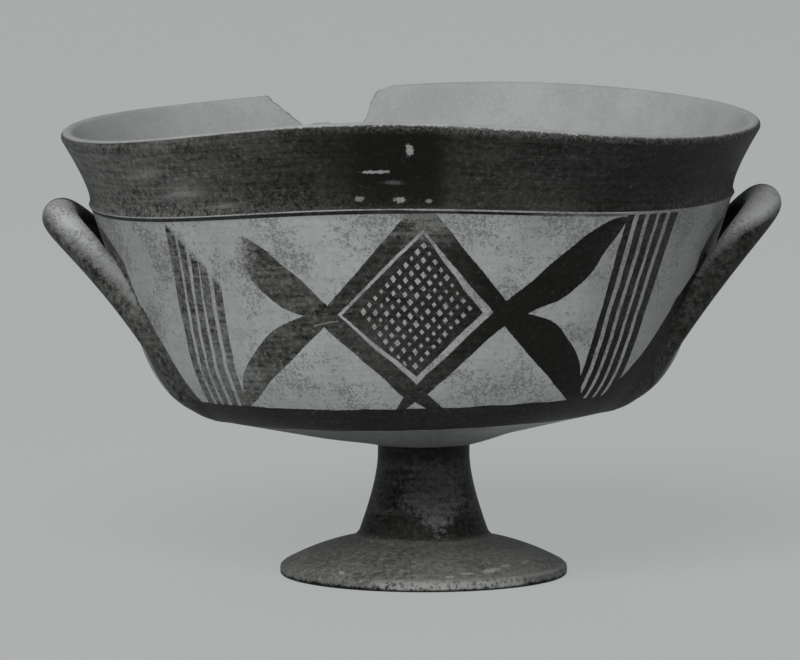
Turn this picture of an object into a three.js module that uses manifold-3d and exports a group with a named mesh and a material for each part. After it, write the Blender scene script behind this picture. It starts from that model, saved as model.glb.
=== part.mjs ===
// A kylix: a wide stemmed drinking cup of fired clay, thrown on the wheel.
// A low domed foot with a hollow underside carries a short flared stem. The stem carries a deep bowl with
// straight flaring walls, a fine ridge at the shoulder and a tall concave lip. Two round loop handles rise
// obliquely from low on the wall. The bowl leans a little to one side, its lip has slumped into an uneven
// wave, and a piece of the lip has broken away at the back. All of it is one fired piece.
//
// Millimetres, +Z up. The cup stands on Z = 0, its handles lie along X, and the broken side faces +Y.
// The origin is the middle of the cup's plan, on the surface that it stands on.
import * as THREE from "three";
import { mergeVertices } from "three/addons/utils/BufferGeometryUtils.js";
import Module from "manifold-3d";

// Foot
const FOOT_RADIUS = 47.6;
const FOOT_EDGE_HEIGHT = 3.2; // upright edge of the disc, measured from the ground
const FOOT_EDGE_BEVEL = 0.9; // the worn corner below that edge
const FOOT_DOME_HEIGHT = 12.2; // where the dome meets the stem
const FOOT_DOME_BULGE = 2.6; // how far the dome swells above a straight cone
const FOOT_THICKNESS = 3.7; // clay between the dome and the hollow, at the stem
const STANDING_RING_WIDTH = 5.4; // flat ring that the cup rests on

// Stem
const STEM_BASE_RADIUS = 22.2;
const STEM_TOP_RADIUS = 15.2;
const STEM_LENGTH = 31.1; // from the dome to the bowl
const STEM_STRAIGHT = 3; // the upright stretch at the top of the stem
const STEM_FLARE_SHARE = 0.66; // where along the flare its bend lies
const STEM_WALL = 5; // clay beside the hollow, at the top of the stem
const STEM_BASE_WALL = 4.2; // and where the stem meets the foot
const STEM_CAP = 13.3; // solid clay between the hollow and the bowl
const THROAT_LENGTH = 4.8; // above the dome, the hollow of the stem widens over this length

// Bowl. Its heights are measured from the top of the stem.
const WALL = 4.2;
const FLOOR_END_RADIUS = 68.2; // where the shallow floor starts to turn up
const FLOOR_SLOPE = 0.228; // rise of the floor for each unit outwards
const FLOOR_MIDDLE_DIP = 1.5; // middle of the floor inside, below the place above the stem's edge
const TURN_TOP_RADIUS = 90; // where the turn ends and the straight wall begins
const TURN_TOP_RISE = 35.3;
const SHOULDER_RADIUS = 105.7; // top of the straight wall
const SHOULDER_RISE = 82.3;

// Ridge and lip, measured from the shoulder
const RIDGE_RISE = 1.1; // fine moulded ridge between wall and lip
const RIDGE_PROUD = 0.8;
const LIP_SETBACK = 0.3; // the lip starts this far outside the shoulder
const LIP_CURVE_RISE = 7.8; // height of the bend that makes the lip concave
const LIP_FLARE = 9.3; // how far the mouth reaches beyond the shoulder
const LIP_RISE = 25.8;

// Handles
const HANDLE_TIP_RADIUS = 5.9; // half the thickness of the clay at the loop's tip
const HANDLE_LEG_RADIUS = 4.5;
const HANDLE_GAP = 4.5; // between the tip and the shoulder
const HANDLE_TIP_DROP = 3.2; // the middle of the tip lies this far below the shoulder
const HANDLE_ROOT_RISE = 22.7; // height of the roots above the stem
const HANDLE_ROOT_SINK = 2.6; // how deep the middle of each root lies in the wall
const HANDLE_HALF_SPREAD = 34; // half the distance between the two roots
const HANDLE_SQUARENESS = 0.77; // 1 is an ellipse, and less is a squarer loop
const HANDLE_BOW = 0.22; // how far the legs arch above a straight line
const HANDLE_TAIL_DROP = 7.5; // each root is smeared down the wall by this much
const HANDLE_TAIL_SINK = 8.5; // and it sinks this far in towards the cup's axis
const HANDLE_TAPER = 0.1; // share of the length, at each end, along which the clay thins out

// Lost piece of the lip. Each point lies this far along X, and this far below the lip.
const BREAK_OUTLINE = [
  [-50.6, -1.2], [-49.4, 1.2], [-46.6, 2.9], [-45.2, 4.5], [-42.4, 6.9], [-40, 9], [-38.5, 10.6],
  [-31.3, 9.2], [-27, 11], [-20.5, 11.6], [-17.4, 10.3], [-14.9, 8.6], [-14.1, 6.4], [-13.1, 3],
  [-11.2, 0.6], [-5.3, -1.1],
];
const BREAK_HEADROOM = 10; // the cut is open this far above the lip, and beyond it

// Slump and lean of the bowl. They grow with the height above the stem.
const SLUMP_START = 16.7; // below this height the bowl stayed true
const SLUMP_SADDLE = 3.5; // front and back risen, sides sunk
const SLUMP_THREEFOLD = 1.3; // three waves round the lip, one at the front
const SLUMP_FOURFOLD = 0.75;
const SLUMP_TURN = THREE.MathUtils.degToRad(-8.9);
const TILT_LOW = 0.0277; // the bowl sinks towards -X by this much for each unit, at its floor
const TILT_HIGH = 0.018; // and at its lip
const SHIFT_LOW = 2.9; // how far the bowl stands towards -X from the foot's middle, at its floor
const SHIFT_HIGH = 4.36; // and at its lip
const TILT_BLEND = 5; // height above the stem over which both set in

// Fineness
const TURN_SEGMENTS = 60;
const HANDLE_SIDES = 10;
const HANDLE_STEPS = 30;
const LIP_ROUND_STEPS = 5;

const clay = new THREE.MeshStandardMaterial({ color: 0x8f918e, roughness: 0.75, metalness: 0 });

const wasm = await Module();
wasm.setup();

const at = (x, y) => new THREE.Vector2(x, y);

// Points along a quadratic curve, without its first point.
function bend(from, through, to, count) {
  return new THREE.QuadraticBezierCurve(from, through, to).getPoints(count).slice(1);
}

// Points along a straight line, without its first point.
function straight(from, to, count) {
  return new THREE.LineCurve(from, to).getPoints(count).slice(1);
}

// The same line moved sideways, to its left as it runs, by the given distance.
function offset(points, distance) {
  return points.map((point, i) => {
    const before = points[Math.max(i - 1, 0)];
    const after = points[Math.min(i + 1, points.length - 1)];
    const along = after.clone().sub(before).normalize();
    return at(point.x - along.y * distance, point.y + along.x * distance);
  });
}

const stemTop = at(STEM_TOP_RADIUS, FOOT_DOME_HEIGHT + STEM_LENGTH);
const turnTop = at(TURN_TOP_RADIUS, stemTop.y + TURN_TOP_RISE);
const shoulder = at(SHOULDER_RADIUS, stemTop.y + SHOULDER_RISE);
const lipHeight = shoulder.y + LIP_RISE;

// Outside of the foot and the stem, from the standing ring up to the bowl, as (radius, height).
function footAndStemOutside() {
  const edgeTop = at(FOOT_RADIUS, FOOT_EDGE_HEIGHT);
  const stemBase = at(STEM_BASE_RADIUS, FOOT_DOME_HEIGHT);
  const domeMiddle = edgeTop.clone().add(stemBase).multiplyScalar(0.5);
  domeMiddle.y += FOOT_DOME_BULGE;
  const flareTop = at(STEM_TOP_RADIUS, stemTop.y - STEM_STRAIGHT);
  const flareBend = at(STEM_TOP_RADIUS, THREE.MathUtils.lerp(stemBase.y, flareTop.y, STEM_FLARE_SHARE));
  return [
    at(FOOT_RADIUS - FOOT_EDGE_BEVEL, 0),
    at(FOOT_RADIUS, FOOT_EDGE_BEVEL),
    edgeTop,
    ...bend(edgeTop, domeMiddle, stemBase, 5),
    ...bend(stemBase, flareBend, flareTop, 6),
    stemTop,
  ];
}

// Outside of the bowl up to the shoulder.
function bowlOutside() {
  const floorEnd = at(FLOOR_END_RADIUS, stemTop.y + (FLOOR_END_RADIUS - STEM_TOP_RADIUS) * FLOOR_SLOPE);
  const wallLean = (shoulder.x - turnTop.x) / (shoulder.y - turnTop.y);
  // The floor's line and the wall's line, both carried on, cross at the bend of the turn.
  const wallFoot = turnTop.x - wallLean * turnTop.y;
  const bendHeight = (floorEnd.y + FLOOR_SLOPE * (wallFoot - floorEnd.x)) / (1 - FLOOR_SLOPE * wallLean);
  const turnBend = at(wallFoot + wallLean * bendHeight, bendHeight);
  return [
    ...straight(stemTop, floorEnd, 3),
    ...bend(floorEnd, turnBend, turnTop, 7),
    ...straight(turnTop, shoulder, 3),
  ];
}

// The concave lip, from just above the ridge to its top.
function lipOutside() {
  const lipFoot = at(shoulder.x + LIP_SETBACK, shoulder.y + 2 * RIDGE_RISE);
  const lipTop = at(shoulder.x + LIP_FLARE, lipHeight - WALL / 2);
  return [lipFoot, ...bend(lipFoot, at(lipFoot.x, shoulder.y + LIP_CURVE_RISE), lipTop, 6)];
}

// The rounded top of the lip, from outside to inside.
function lipRound(outsideEdge, insideEdge) {
  const middle = outsideEdge.clone().add(insideEdge).multiplyScalar(0.5);
  const points = [];
  for (let step = 1; step < LIP_ROUND_STEPS; step++) {
    points.push(outsideEdge.clone().rotateAround(middle, (step * Math.PI) / LIP_ROUND_STEPS));
  }
  return points;
}

// The hollow under the foot and in the stem, from its top on the axis down to the standing ring.
function hollow() {
  const top = at(0, stemTop.y - STEM_CAP);
  const throat = at(STEM_TOP_RADIUS - STEM_WALL, FOOT_DOME_HEIGHT + THROAT_LENGTH);
  const flare = at(STEM_BASE_RADIUS - STEM_BASE_WALL, FOOT_DOME_HEIGHT - FOOT_THICKNESS);
  return [
    top,
    ...bend(top, at(throat.x, top.y), throat, 4),
    ...bend(throat, at(throat.x, flare.y), flare, 3),
    at(FOOT_RADIUS - FOOT_EDGE_BEVEL - STANDING_RING_WIDTH, 0),
  ];
}

// Turns a section, as (radius, height), into a closed body round the Z axis.
function turned(section) {
  const geometry = new THREE.LatheGeometry(section, TURN_SEGMENTS);
  geometry.rotateX(Math.PI / 2);
  return solid(geometry);
}

// A closed geometry as a solid for joining and cutting, turned right side out if need be.
function solid(geometry) {
  const bare = new THREE.BufferGeometry().setAttribute("position", geometry.getAttribute("position"));
  if (geometry.index) bare.setIndex(geometry.index);
  const merged = mergeVertices(bare, 1e-4);
  const corners = Array.from(merged.index.array);
  const triangles = [];
  for (let i = 0; i < corners.length; i += 3) {
    const [a, b, c] = corners.slice(i, i + 3);
    if (a !== b && b !== c && c !== a) triangles.push([a, b, c]);
  }
  const vertProperties = new Float32Array(merged.attributes.position.array);
  const make = (list) =>
    new wasm.Manifold(new wasm.Mesh({ numProp: 3, vertProperties, triVerts: new Uint32Array(list.flat()) }));
  const made = make(triangles);
  return made.volume() > 0 ? made : make(triangles.map(([a, b, c]) => [a, c, b]));
}

const bowlWall = [stemTop, ...bowlOutside()];
const lip = lipOutside();
const ridge = at(shoulder.x + RIDGE_PROUD, shoulder.y + RIDGE_RISE);

// The whole cup in section: hollow, foot, stem, bowl, lip, and back down the inside to the axis.
function cupSection() {
  const inside = offset([...bowlWall.slice(1), ...lip.slice(1)], WALL).reverse();
  const floorMiddle = at(0, inside[inside.length - 1].y - FLOOR_MIDDLE_DIP);
  return [
    ...hollow(),
    ...footAndStemOutside(),
    ...bowlOutside(),
    ridge,
    ...lip,
    ...lipRound(lip[lip.length - 1], inside[0]),
    ...inside,
    floorMiddle,
  ];
}

// Everything within the middle of the bowl's wall. Handle clay that reaches into it is cut away.
function bowlCore() {
  const middle = offset([...bowlWall, ...lip.slice(1)], WALL / 2);
  return turned([at(0, middle[0].y), ...middle, at(0, middle[middle.length - 1].y)]);
}

// Radius of the outside of the bowl's wall at a height.
function wallRadius(height) {
  const i = bowlWall.findIndex((point) => point.y > height);
  const [low, high] = [bowlWall[i - 1], bowlWall[i]];
  return THREE.MathUtils.mapLinear(height, low.y, high.y, low.x, high.x);
}

// The middle of a handle's clay, from root to root: a squarish loop that leans out from the wall.
// side is 1 for +X and -1 for -X.
function handleLine(side) {
  const { lerp } = THREE.MathUtils;
  const rootHeight = stemTop.y + HANDLE_ROOT_RISE;
  const rootRadius = wallRadius(rootHeight) - HANDLE_ROOT_SINK;
  const root = at(Math.sqrt(rootRadius ** 2 - HANDLE_HALF_SPREAD ** 2), rootHeight);
  const tip = at(shoulder.x + HANDLE_GAP + HANDLE_TIP_RADIUS, shoulder.y - HANDLE_TIP_DROP);
  const points = [];
  for (let step = 0; step <= HANDLE_STEPS; step++) {
    const turn = (step / HANDLE_STEPS) * Math.PI;
    const out = Math.sin(turn);
    const across = -Math.sign(Math.cos(turn)) * Math.abs(Math.cos(turn)) ** HANDLE_SQUARENESS;
    const up = out + HANDLE_BOW * out * (1 - out);
    const reach = lerp(root.x, tip.x, out);
    points.push(new THREE.Vector3(side * reach, HANDLE_HALF_SPREAD * across, lerp(root.y, tip.y, up)));
  }
  const inwards = 1 - HANDLE_TAIL_SINK / root.x;
  const tail = (end) => new THREE.Vector3(end.x * inwards, end.y * inwards, end.z - HANDLE_TAIL_DROP);
  return new THREE.CatmullRomCurve3([tail(points[0]), ...points, tail(points[HANDLE_STEPS])]);
}

// Half the thickness of a handle's clay. along runs from 0 at one end to 1 at the other. The clay
// thins to a point at each end, which also closes the tube.
function handleRadius(along) {
  const fromEnd = Math.min(along, 1 - along);
  const thickness = THREE.MathUtils.lerp(HANDLE_LEG_RADIUS, HANDLE_TIP_RADIUS, 2 * fromEnd);
  return thickness * Math.sqrt(1 - (1 - Math.min(1, fromEnd / HANDLE_TAPER)) ** 2);
}

// A handle, cut away where it would reach through the bowl's wall.
function handle(side) {
  const line = handleLine(side);
  const geometry = new THREE.TubeGeometry(line, HANDLE_STEPS, 1, HANDLE_SIDES);
  const spots = geometry.getAttribute("position");
  for (let i = 0; i < spots.count; i++) {
    const along = Math.floor(i / (HANDLE_SIDES + 1)) / HANDLE_STEPS;
    const middle = line.getPointAt(along);
    const spot = new THREE.Vector3().fromBufferAttribute(spots, i).sub(middle);
    spots.setXYZ(i, ...spot.multiplyScalar(handleRadius(along)).add(middle));
  }
  return solid(geometry).subtract(bowlCore());
}

// The lost piece of the lip, as a block to cut away.
function lostPiece() {
  const corners = BREAK_OUTLINE.map(([x, down]) => at(x, lipHeight - down));
  const top = lipHeight + BREAK_HEADROOM;
  const last = corners[corners.length - 1];
  const outline = new THREE.Shape([at(corners[0].x, top), ...corners, at(last.x, top)]);
  const depth = shoulder.x + LIP_FLARE + BREAK_HEADROOM;
  const geometry = new THREE.ExtrudeGeometry(outline, { depth, bevelEnabled: false });
  // The outline is drawn in X and Y and pushed along Z: stand it up, so that it is pushed along +Y.
  geometry.rotateX(Math.PI / 2);
  geometry.scale(1, -1, 1);
  return solid(geometry);
}

// Where a point of the true cup came to lie after the bowl slumped and leant.
function slumped(x, y, z) {
  const slumpStart = stemTop.y + SLUMP_START;
  const height = Math.max(0, (z - slumpStart) / (lipHeight - slumpStart));
  const angle = Math.atan2(y, x);
  const rise =
    -SLUMP_SADDLE * height * height * Math.cos(2 * (angle - SLUMP_TURN)) +
    SLUMP_THREEFOLD * height * Math.sin(3 * angle) +
    SLUMP_FOURFOLD * height * Math.cos(4 * (angle - SLUMP_TURN));
  const { clamp, lerp, smoothstep } = THREE.MathUtils;
  const share = smoothstep(z, stemTop.y, stemTop.y + TILT_BLEND);
  const up = clamp((z - stemTop.y) / (lipHeight - stemTop.y), 0, 1);
  const tilt = share * lerp(TILT_LOW, TILT_HIGH, up);
  const shift = share * lerp(SHIFT_LOW, SHIFT_HIGH, up);
  return [x - shift, y, z + rise + x * tilt];
}

// A solid as a geometry, slumped, and with the middle of its plan at the origin.
function finished(body) {
  const mesh = body.getMesh();
  const positions = new Float32Array(mesh.numVert * 3);
  for (let i = 0; i < mesh.numVert; i++) {
    const [x, y, z] = mesh.vertProperties.subarray(i * mesh.numProp, i * mesh.numProp + 3);
    positions.set(slumped(x, y, z), i * 3);
  }
  const geometry = new THREE.BufferGeometry();
  geometry.setAttribute("position", new THREE.BufferAttribute(positions, 3));
  geometry.setIndex(new THREE.BufferAttribute(new Uint32Array(mesh.triVerts), 1));
  geometry.computeBoundingBox();
  const middle = geometry.boundingBox.getCenter(new THREE.Vector3());
  geometry.translate(-middle.x, -middle.y, 0);
  geometry.computeVertexNormals();
  return geometry;
}

const cup = turned(cupSection()).add(handle(-1)).add(handle(1)).subtract(lostPiece());

const kylix = new THREE.Mesh(finished(cup), clay);
kylix.name = "kylix";

const part = new THREE.Group();
part.add(kylix);

export default part;
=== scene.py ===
# %% [markdown]
# # A painted stemmed cup
# This is a wide drinking cup of fired clay on a short stem, with two loop handles and a painted
# lozenge between leaves and stripes. It is old: the bowl has slumped, a piece of the lip is lost and
# the paint is worn. The potter threw it true, painted it, and only then did it warp. The script goes
# the same way: it turns a true cup, adds the handles, breaks the lip, keeps each point's place on the
# true cup for the paint, and warps the whole at the end. Measures are in millimetres, and the mesh is
# in metres.

# %% The frame
import math

import bpy
import numpy as np
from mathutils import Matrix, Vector


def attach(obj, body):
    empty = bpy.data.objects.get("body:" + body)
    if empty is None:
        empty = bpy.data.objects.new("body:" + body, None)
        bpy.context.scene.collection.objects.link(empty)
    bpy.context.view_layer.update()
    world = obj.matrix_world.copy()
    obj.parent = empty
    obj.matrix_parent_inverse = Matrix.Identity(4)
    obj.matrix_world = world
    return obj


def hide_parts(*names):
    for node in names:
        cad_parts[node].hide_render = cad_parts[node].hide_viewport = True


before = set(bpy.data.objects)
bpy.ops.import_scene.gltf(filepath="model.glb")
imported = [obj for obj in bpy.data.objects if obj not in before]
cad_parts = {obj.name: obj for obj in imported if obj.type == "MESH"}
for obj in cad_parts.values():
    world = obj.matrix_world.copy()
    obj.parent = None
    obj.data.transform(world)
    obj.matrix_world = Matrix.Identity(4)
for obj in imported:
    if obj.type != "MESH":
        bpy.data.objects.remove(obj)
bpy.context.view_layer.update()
MM = 0.001

# %% [markdown]
# ## The camera
# It looks at the cup nearly level from 2.2 m away, so that the far rim just shows over the near one.
# It comes first because its frame, 800 by 660, decides what is worth detail.

# %% Place the camera
EYE = Vector((-3.86, -2200, 305)) * MM
AIM = Vector((-3.86, 0, 81)) * MM
FOCAL_PIXELS = 6682.8
PICTURE_WIDTH = 800
SENSOR_WIDTH = 36


def facing_to(place, aim):
    """The turn that makes a camera or a light at a place look at its aim."""
    return (aim - place).to_track_quat("-Z", "Y").to_euler()


bpy.ops.object.select_all(action="DESELECT")
bpy.ops.object.camera_add(location=EYE, rotation=facing_to(EYE, AIM))
camera = bpy.context.object
camera.name = "camera"
camera.data.sensor_fit = "HORIZONTAL"
camera.data.sensor_width = SENSOR_WIDTH
camera.data.lens = FOCAL_PIXELS / PICTURE_WIDTH * SENSOR_WIDTH
camera.data.clip_end = 50
bpy.context.scene.camera = camera
print("lens:", round(camera.data.lens, 1), "mm")

# %% [markdown]
# ## The section of the cup
# A thrown pot is a section turned round an axis: a line of points, each a radius and a height. It
# starts on the axis under the stem, runs down the hollow of the foot, up the outside to the lip, and
# down the inside to the middle of the bowl. Curves are quadratic, with a start, a pull and an end.

# %% Measures of the section
FOOT_RADIUS = 47.6
FOOT_EDGE_HEIGHT = 3.2
FOOT_DOME_HEIGHT = 12.2
FOOT_DOME_BULGE = 2.6
FOOT_THICKNESS = 3.7
FOOT_BEVEL = 0.9
FOOT_UPRIGHT = 2
FOOT_EDGE_EASE = (0.15, 0.3)
STANDING_RING_WIDTH = 5.4
STEM_BASE_RADIUS = 22.2
STEM_BASE_WALL = 4.2
STEM_TOP_RADIUS = 15.2
STEM_WALL = 5
STEM_TOP_HEIGHT = 43.3
STEM_STRAIGHT = 3
STEM_FLARE_SHARE = 0.66
STEM_CAP = 13.3
STEM_FILLET = (0.6, 0.1)
THROAT_LENGTH = 4.8
WALL = 4.2
FLOOR_END_RADIUS = 68.2
FLOOR_SLOPE = 0.228
FLOOR_MIDDLE_DIP = 1.5
TURN_TOP = (90, 78.6)
SHOULDER = (105.7, 125.6)
RIDGE_PROUD = 0.8
RIDGE_RISE = 1.1
LIP_SETBACK = 0.3
LIP_CURVE_RISE = 7.8
LIP_FLARE = 9.3
LIP_RISE = 25.8
LIP_HEIGHT = SHOULDER[1] + LIP_RISE


def between(low, high, share):
    return low + (high - low) * share


def straight(start, end, count):
    """Points along a straight line, without its first point."""
    shares = [step / count for step in range(1, count + 1)]
    return [(between(start[0], end[0], t), between(start[1], end[1], t)) for t in shares]


def bend(start, pull, end, count):
    """Points along a quadratic curve, without its first point."""
    points = []
    for step in range(1, count + 1):
        t = step / count
        a, b, c = (1 - t) ** 2, 2 * t * (1 - t), t ** 2
        points.append(tuple(a * s + b * p + c * e for s, p, e in zip(start, pull, end)))
    return points


def beside(points, distance):
    """The same line, moved to its left as it runs."""
    line = np.array(points)
    along = np.gradient(line, axis=0)
    along /= np.linalg.norm(along, axis=1)[:, None]
    return [tuple(spot) for spot in line + distance * np.stack([-along[:, 1], along[:, 0]], axis=1)]


# %% Draw the section
def hollow_section():
    """The hollow under the foot, from its top on the axis down to the ring that the cup stands on."""
    top = (0, STEM_TOP_HEIGHT - STEM_CAP)
    throat = (STEM_TOP_RADIUS - STEM_WALL, FOOT_DOME_HEIGHT + THROAT_LENGTH)
    flare = (STEM_BASE_RADIUS - STEM_BASE_WALL, FOOT_DOME_HEIGHT - FOOT_THICKNESS)
    ring = (FOOT_RADIUS - FOOT_BEVEL - STANDING_RING_WIDTH, 0)
    return [
        top,
        *bend(top, (throat[0], top[1]), throat, 8),
        *bend(throat, (throat[0], flare[1]), flare, 6),
        *straight(flare, ring, 9),
    ]


def foot_section():
    """The outside of the foot and the stem, up to the bowl."""
    edge_top = (FOOT_RADIUS, FOOT_EDGE_HEIGHT)
    stem_base = (STEM_BASE_RADIUS, FOOT_DOME_HEIGHT)
    dome_pull = (
        between(FOOT_RADIUS, STEM_BASE_RADIUS, 0.5),
        between(FOOT_EDGE_HEIGHT, FOOT_DOME_HEIGHT, 0.5) + FOOT_DOME_BULGE,
    )
    flare_top = (STEM_TOP_RADIUS, STEM_TOP_HEIGHT - STEM_STRAIGHT)
    flare_pull = (STEM_TOP_RADIUS, between(FOOT_DOME_HEIGHT, flare_top[1], STEM_FLARE_SHARE))
    return [
        (FOOT_RADIUS - FOOT_BEVEL - STANDING_RING_WIDTH / 2, 0),
        (FOOT_RADIUS - FOOT_BEVEL, 0),
        *bend((FOOT_RADIUS - FOOT_BEVEL, 0), (FOOT_RADIUS, 0), (FOOT_RADIUS, FOOT_BEVEL), 3),
        (FOOT_RADIUS, FOOT_UPRIGHT),
        (FOOT_RADIUS - FOOT_EDGE_EASE[0], FOOT_EDGE_HEIGHT - FOOT_EDGE_EASE[1]),
        *bend(edge_top, dome_pull, stem_base, 20)[:-1],
        *bend(stem_base, flare_pull, flare_top, 18),
        *straight(flare_top, (STEM_TOP_RADIUS, STEM_TOP_HEIGHT - STEM_FILLET[0]), 2),
    ]


def bowl_section():
    """The outside of the bowl, from the stem to the shoulder."""
    stem_top = (STEM_TOP_RADIUS, STEM_TOP_HEIGHT)
    floor_end = (FLOOR_END_RADIUS, STEM_TOP_HEIGHT + (FLOOR_END_RADIUS - STEM_TOP_RADIUS) * FLOOR_SLOPE)
    wall_lean = (SHOULDER[0] - TURN_TOP[0]) / (SHOULDER[1] - TURN_TOP[1])
    # The floor's line and the wall's line, both carried on, cross at the pull of the turn.
    wall_foot = TURN_TOP[0] - wall_lean * TURN_TOP[1]
    height = (floor_end[1] + FLOOR_SLOPE * (wall_foot - floor_end[0])) / (1 - FLOOR_SLOPE * wall_lean)
    turn_pull = (wall_foot + wall_lean * height, height)
    return [
        (STEM_TOP_RADIUS + STEM_FILLET[0], STEM_TOP_HEIGHT + STEM_FILLET[1]),
        *straight(stem_top, floor_end, 18)[1:],
        *bend(floor_end, turn_pull, TURN_TOP, 22),
        *straight(TURN_TOP, SHOULDER, 20),
    ]


def lip_section():
    """The concave outside of the lip, above the ridge."""
    foot = (SHOULDER[0] + LIP_SETBACK, SHOULDER[1] + 2 * RIDGE_RISE)
    top = (SHOULDER[0] + LIP_FLARE, LIP_HEIGHT - WALL / 2)
    return [foot, *bend(foot, (foot[0], SHOULDER[1] + LIP_CURVE_RISE), top, 16)]


RIDGE = [
    (SHOULDER[0] + 0.55 * RIDGE_PROUD, SHOULDER[1] + 0.45 * RIDGE_RISE),
    (SHOULDER[0] + RIDGE_PROUD, SHOULDER[1] + RIDGE_RISE),
    (SHOULDER[0] + 0.7 * RIDGE_PROUD, SHOULDER[1] + 1.6 * RIDGE_RISE),
]
LIP_ROUND_STEPS = 10

outside = [*hollow_section(), *foot_section(), *bowl_section(), *RIDGE, *lip_section()]
bowl_line = [(STEM_TOP_RADIUS, STEM_TOP_HEIGHT), *bowl_section()[1:], *lip_section()[1:]]
inside = beside(bowl_line, WALL)[::-1][:-1]
crest_middle = [(a + b) / 2 for a, b in zip(outside[-1], inside[0])]
crest_arm = complex(outside[-1][0] - crest_middle[0], outside[-1][1] - crest_middle[1])
crest = []
for step in range(1, LIP_ROUND_STEPS):
    turn = math.pi * step / LIP_ROUND_STEPS
    arm = crest_arm * complex(math.cos(turn), math.sin(turn))
    crest.append((crest_middle[0] + arm.real, crest_middle[1] + arm.imag))
section = [*outside, *crest, *inside, (0, inside[-1][1] - FLOOR_MIDDLE_DIP)]
lip_crest = crest[LIP_ROUND_STEPS // 2 - 1]
print(len(section), "points in the section; crest of the lip at", [round(side, 1) for side in lip_crest])

# %% [markdown]
# ## Turning the section
# Blender's spin tool is the potter's wheel. A plane is merged to a point, the point is extruded along
# the section, and the line is spun round the vertical axis. Merging doubles closes the seam and the
# two poles. Only then are the normals recalculated, because an open shell has no outside.

# %% Helpers for modelling
TURN_STEPS = 256
CORE_STEPS = 128
SAME_PLACE = 0.01 * MM


def alone(piece):
    """Makes this piece the only one that the next operator acts on."""
    bpy.ops.object.select_all(action="DESELECT")
    piece.select_set(True)
    bpy.context.view_layer.objects.active = piece


def line_of_points(name, spots):
    """A new mesh with one line of edges through the spots, in edit mode and all selected."""
    bpy.ops.object.select_all(action="DESELECT")
    bpy.ops.mesh.primitive_plane_add(size=MM, location=(0, 0, 0))
    piece = bpy.context.object
    piece.name = piece.data.name = name
    bpy.ops.object.mode_set(mode="EDIT")
    bpy.ops.mesh.merge(type="CENTER")
    bpy.ops.transform.translate(value=Vector(spots[0]) * MM)
    for last, spot in zip(spots, spots[1:]):
        step = (Vector(spot) - Vector(last)) * MM
        bpy.ops.mesh.extrude_vertices_move(TRANSFORM_OT_translate={"value": step})
    bpy.ops.mesh.select_all(action="SELECT")
    return piece


def close_up():
    """Merges the doubles of the mesh in edit mode, turns its faces outwards and leaves edit mode."""
    bpy.ops.mesh.select_all(action="SELECT")
    bpy.ops.mesh.remove_doubles(threshold=SAME_PLACE)
    bpy.ops.mesh.normals_make_consistent(inside=False)
    bpy.ops.object.mode_set(mode="OBJECT")


def turned(name, points, steps):
    """A closed body, spun from a section that starts and ends on the axis."""
    piece = line_of_points(name, [(radius, 0, height) for radius, height in points])
    bpy.ops.mesh.spin(steps=steps, angle=2 * math.pi, center=(0, 0, 0), axis=(0, 0, 1))
    close_up()
    return piece


def spots_of(piece):
    """The piece's vertices as rows of x, y and z in millimetres."""
    flat = np.empty(3 * len(piece.data.vertices))
    piece.data.vertices.foreach_get("co", flat)
    return flat.reshape(-1, 3) / MM


def move_spots(piece, spots):
    piece.data.vertices.foreach_set("co", (spots * MM).ravel())
    piece.data.update()


# %% Turn the cup
cup = turned("cup", section, TURN_STEPS)
core_line = beside(bowl_line, WALL / 2)
core = turned("core", [(0, core_line[0][1]), *core_line, (0, core_line[-1][1])], CORE_STEPS)
print("turned:", len(cup.data.vertices), "points; size", [round(side / MM, 1) for side in cup.dimensions])

# %% [markdown]
# ## The handles
# Each handle is a rolled coil of clay, bent to a loop and pressed on while soft. A curve with a
# radius at each point comes closest to it, stout at the tip and thin at its ends. Near the wall the
# clay was smeared out, so points close to the wall are pushed outwards, and the wall swells to meet
# them. The core keeps the ends from reaching through to the inside of the bowl.

# %% The line of a handle
HANDLE_TIP_RADIUS = 5.9
HANDLE_LEG_RADIUS = 4.5
HANDLE_GAP = 4.5
HANDLE_TIP_DROP = 3.2
HANDLE_ROOT_HEIGHT = 66
HANDLE_ROOT_SINK = 2.6
HANDLE_HALF_SPREAD = 34
HANDLE_SQUARENESS = 0.77
HANDLE_BOW = 0.22
HANDLE_TAIL_DROP = 7.5
HANDLE_TAIL_SINK = 8.5
HANDLE_TAPER = 0.1
HANDLE_PRESSED = 1.6
HANDLE_RINGS = 110

outer_line = np.array([*bowl_section(), *lip_section()])
outer_line = outer_line[outer_line[:, 1] > STEM_TOP_HEIGHT + 1]


def wall_radius(height):
    """Radius of the outside of the bowl at a height, and of the lip above it."""
    return np.interp(height, outer_line[:, 1], outer_line[:, 0])


def walk(line):
    """How far each point of a line is from its start, along the line."""
    return np.concatenate([[0], np.cumsum(np.linalg.norm(np.diff(line, axis=0), axis=1))])


def spots_on(line, where, marks):
    """The spots of a line at some places, which are given in the marks of its points."""
    return np.stack([np.interp(where, marks, column) for column in line.T], axis=1)


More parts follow.
